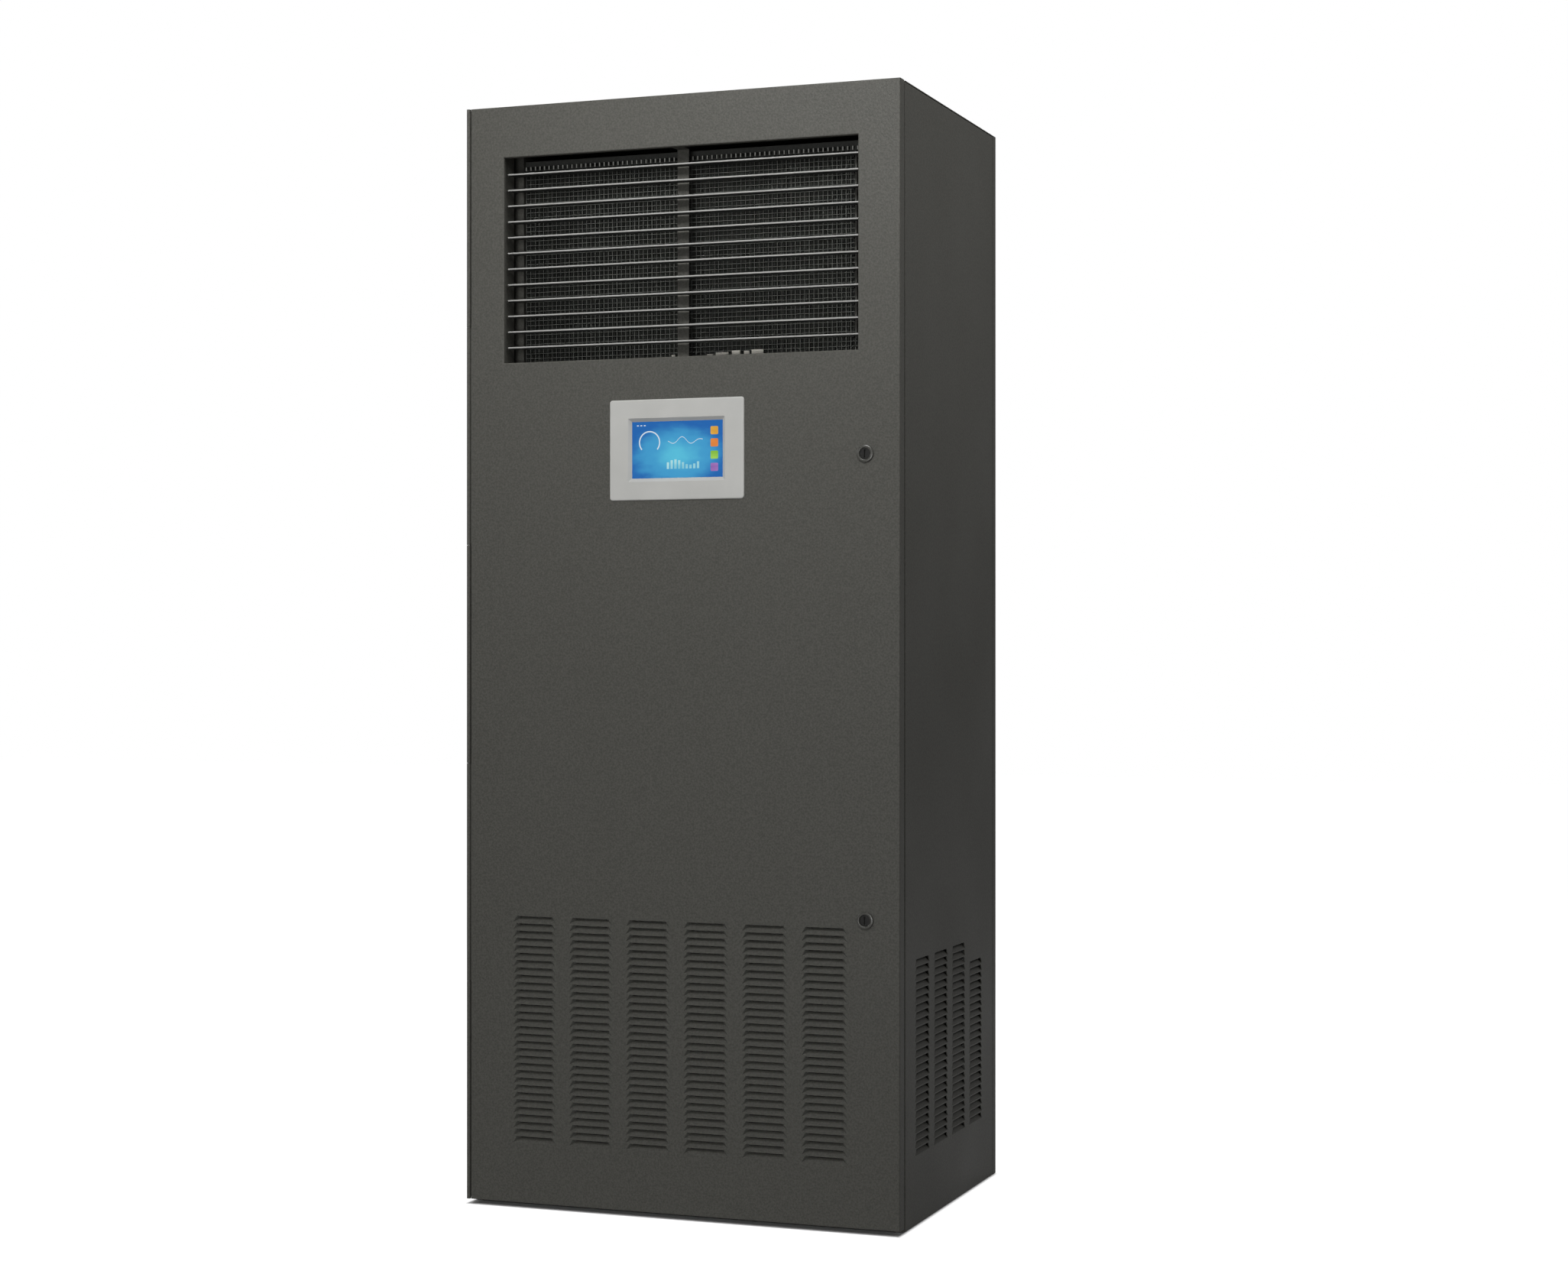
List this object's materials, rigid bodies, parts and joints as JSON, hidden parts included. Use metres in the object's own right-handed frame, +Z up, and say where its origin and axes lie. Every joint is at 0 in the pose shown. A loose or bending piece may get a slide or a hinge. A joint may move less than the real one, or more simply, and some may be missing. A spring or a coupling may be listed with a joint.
{
  "type": "precision air conditioner",
  "caption": "Floor-standing precision air conditioner cabinet with a hinged louvred door, ganged outlet blades, a touch display, cooling coil, plug fan and compressor.",
  "frame": {"origin": "on the floor at the middle of the footprint", "axes": "+Z up, the door faces -Y, +X to the right seen from the front"},
  "size_m": [0.75, 0.55, 1.8],
  "materials": {
    "powder_coat": "matte",
    "blade_paint": "satin",
    "base_paint": "matte",
    "galvanised": "satin",
    "bright_metal": "polished",
    "fin_aluminium": "satin",
    "copper": "satin",
    "motor_paint": "satin",
    "black_plastic": "matte",
    "bezel_plastic": "satin",
    "screen": "gloss",
    "seal_rubber": "matte",
    "filter_cloth": "matte",
    "pale_plastic": "satin"
  },
  "bodies": {
    "cabinet": {"base_frame": "base_paint", "cable_grommet": "seal_rubber", "corner_posts": "galvanised", "top_panel": "powder_coat", "left_panel": "powder_coat", "right_panel": "powder_coat", "rear_panel": "powder_coat", "rear_screws": "bright_metal", "hinge_frame_leaf": "powder_coat", "hinge_pin": "bright_metal", "fan_deck": "galvanised", "inlet_ring": "galvanised", "fan_motor": "motor_paint", "fan_bracket": "galvanised", "evaporator_fins": "fin_aluminium", "coil_end_plates": "galvanised", "coil_bends": "copper", "reheat_rods": "bright_metal", "drain_pan": "galvanised", "drain_pipe": "pale_plastic", "electrical_box": "galvanised", "electrical_cover": "galvanised", "contactors": "black_plastic", "compressor": "motor_paint", "compressor_mounts": "seal_rubber", "humidifier_tank": "pale_plastic", "suction_pipe": "copper", "hot_gas_pipe": "copper", "liquid_pipe": "copper", "filter_rails": "galvanised"},
    "door": {"door_panel": "powder_coat", "door_stiffeners": "galvanised", "door_gasket": "seal_rubber", "display_bezel": "bezel_plastic", "display_screen": "screen", "controller_box": "black_plastic", "lock_housings": "bright_metal", "hinge_door_leaf": "powder_coat", "grille_bearers": "galvanised", "grille_mullion": "powder_coat"},
    "upper_lock": {"upper_lock_core": "bright_metal"},
    "lower_lock": {"lower_lock_core": "bright_metal"},
    "outlet_blade_01": {"outlet_blade_01": "blade_paint"},
    "outlet_blade_02": {"outlet_blade_02": "blade_paint"},
    "outlet_blade_03": {"outlet_blade_03": "blade_paint"},
    "outlet_blade_04": {"outlet_blade_04": "blade_paint"},
    "outlet_blade_05": {"outlet_blade_05": "blade_paint"},
    "outlet_blade_06": {"outlet_blade_06": "blade_paint"},
    "outlet_blade_07": {"outlet_blade_07": "blade_paint"},
    "outlet_blade_08": {"outlet_blade_08": "blade_paint"},
    "outlet_blade_09": {"outlet_blade_09": "blade_paint"},
    "outlet_blade_10": {"outlet_blade_10": "blade_paint"},
    "outlet_blade_11": {"outlet_blade_11": "blade_paint"},
    "outlet_blade_12": {"outlet_blade_12": "blade_paint"},
    "tie_bar": {"blade_tie_bar": "galvanised"},
    "fan": {"fan_impeller": "fin_aluminium", "fan_shaft": "bright_metal"},
    "filter": {"filter_frame": "galvanised", "filter_media": "filter_cloth"},
    "main_switch": {"switch_knob": "black_plastic"}
  },
  "joints": [
    {"name": "door_hinge", "type": "hinge", "parent": "cabinet", "child": "door", "pos_m": [-0.3715, -0.2685, 0.9], "axis": [0, 0, -1], "range_deg": [0, 120]},
    {"name": "upper_lock_turn", "type": "hinge", "parent": "door", "child": "upper_lock", "pos_m": [0.318, -0.272, 1.217], "axis": [0, -1, 0], "range_deg": [0, 90]},
    {"name": "lower_lock_turn", "type": "hinge", "parent": "door", "child": "lower_lock", "pos_m": [0.318, -0.272, 0.4885], "axis": [0, -1, 0], "range_deg": [0, 90]},
    {"name": "blade_01_pivot", "type": "hinge", "parent": "door", "child": "outlet_blade_01", "pos_m": [0, -0.248, 1.40585], "axis": [1, 0, 0], "range_deg": [-30, 30]},
    {"name": "blade_02_pivot", "type": "hinge", "parent": "door", "child": "outlet_blade_02", "pos_m": [0, -0.248, 1.43169], "axis": [1, 0, 0], "range_deg": [-30, 30]},
    {"name": "blade_03_pivot", "type": "hinge", "parent": "door", "child": "outlet_blade_03", "pos_m": [0, -0.248, 1.45754], "axis": [1, 0, 0], "range_deg": [-30, 30]},
    {"name": "blade_04_pivot", "type": "hinge", "parent": "door", "child": "outlet_blade_04", "pos_m": [0, -0.248, 1.48338], "axis": [1, 0, 0], "range_deg": [-30, 30]},
    {"name": "blade_05_pivot", "type": "hinge", "parent": "door", "child": "outlet_blade_05", "pos_m": [0, -0.248, 1.50923], "axis": [1, 0, 0], "range_deg": [-30, 30]},
    {"name": "blade_06_pivot", "type": "hinge", "parent": "door", "child": "outlet_blade_06", "pos_m": [0, -0.248, 1.53508], "axis": [1, 0, 0], "range_deg": [-30, 30]},
    {"name": "blade_07_pivot", "type": "hinge", "parent": "door", "child": "outlet_blade_07", "pos_m": [0, -0.248, 1.56092], "axis": [1, 0, 0], "range_deg": [-30, 30]},
    {"name": "blade_08_pivot", "type": "hinge", "parent": "door", "child": "outlet_blade_08", "pos_m": [0, -0.248, 1.58677], "axis": [1, 0, 0], "range_deg": [-30, 30]},
    {"name": "blade_09_pivot", "type": "hinge", "parent": "door", "child": "outlet_blade_09", "pos_m": [0, -0.248, 1.61261], "axis": [1, 0, 0], "range_deg": [-30, 30]},
    {"name": "blade_10_pivot", "type": "hinge", "parent": "door", "child": "outlet_blade_10", "pos_m": [0, -0.248, 1.63846], "axis": [1, 0, 0], "range_deg": [-30, 30]},
    {"name": "blade_11_pivot", "type": "hinge", "parent": "door", "child": "outlet_blade_11", "pos_m": [0, -0.248, 1.66431], "axis": [1, 0, 0], "range_deg": [-30, 30]},
    {"name": "blade_12_pivot", "type": "hinge", "parent": "door", "child": "outlet_blade_12", "pos_m": [0, -0.248, 1.69015], "axis": [1, 0, 0], "range_deg": [-30, 30]},
    {"name": "tie_bar_pivot", "type": "hinge", "parent": "outlet_blade_01", "child": "tie_bar", "pos_m": [0.2905, -0.23, 1.40585], "axis": [1, 0, 0], "range_deg": [-30, 30]},
    {"name": "fan_spin", "type": "hinge", "parent": "cabinet", "child": "fan", "pos_m": [-0.1, 0.04, 1], "axis": [0, 0, 1], "continuous": true},
    {"name": "filter_slide", "type": "slide", "parent": "cabinet", "child": "filter", "axis": [0, 0, 1], "range_m": [0, 0.35]},
    {"name": "main_switch_turn", "type": "hinge", "parent": "cabinet", "child": "main_switch", "pos_m": [0.2251, -0.223, 1.216], "axis": [0, -1, 0], "range_deg": [0, 90]}
  ],
  "couplings": [
    {"joint": "blade_02_pivot", "follows": "blade_01_pivot", "ratio": 1},
    {"joint": "blade_03_pivot", "follows": "blade_01_pivot", "ratio": 1},
    {"joint": "blade_04_pivot", "follows": "blade_01_pivot", "ratio": 1},
    {"joint": "blade_05_pivot", "follows": "blade_01_pivot", "ratio": 1},
    {"joint": "blade_06_pivot", "follows": "blade_01_pivot", "ratio": 1},
    {"joint": "blade_07_pivot", "follows": "blade_01_pivot", "ratio": 1},
    {"joint": "blade_08_pivot", "follows": "blade_01_pivot", "ratio": 1},
    {"joint": "blade_09_pivot", "follows": "blade_01_pivot", "ratio": 1},
    {"joint": "blade_10_pivot", "follows": "blade_01_pivot", "ratio": 1},
    {"joint": "blade_11_pivot", "follows": "blade_01_pivot", "ratio": 1},
    {"joint": "blade_12_pivot", "follows": "blade_01_pivot", "ratio": 1},
    {"joint": "tie_bar_pivot", "follows": "blade_01_pivot", "ratio": -1}
  ]
}
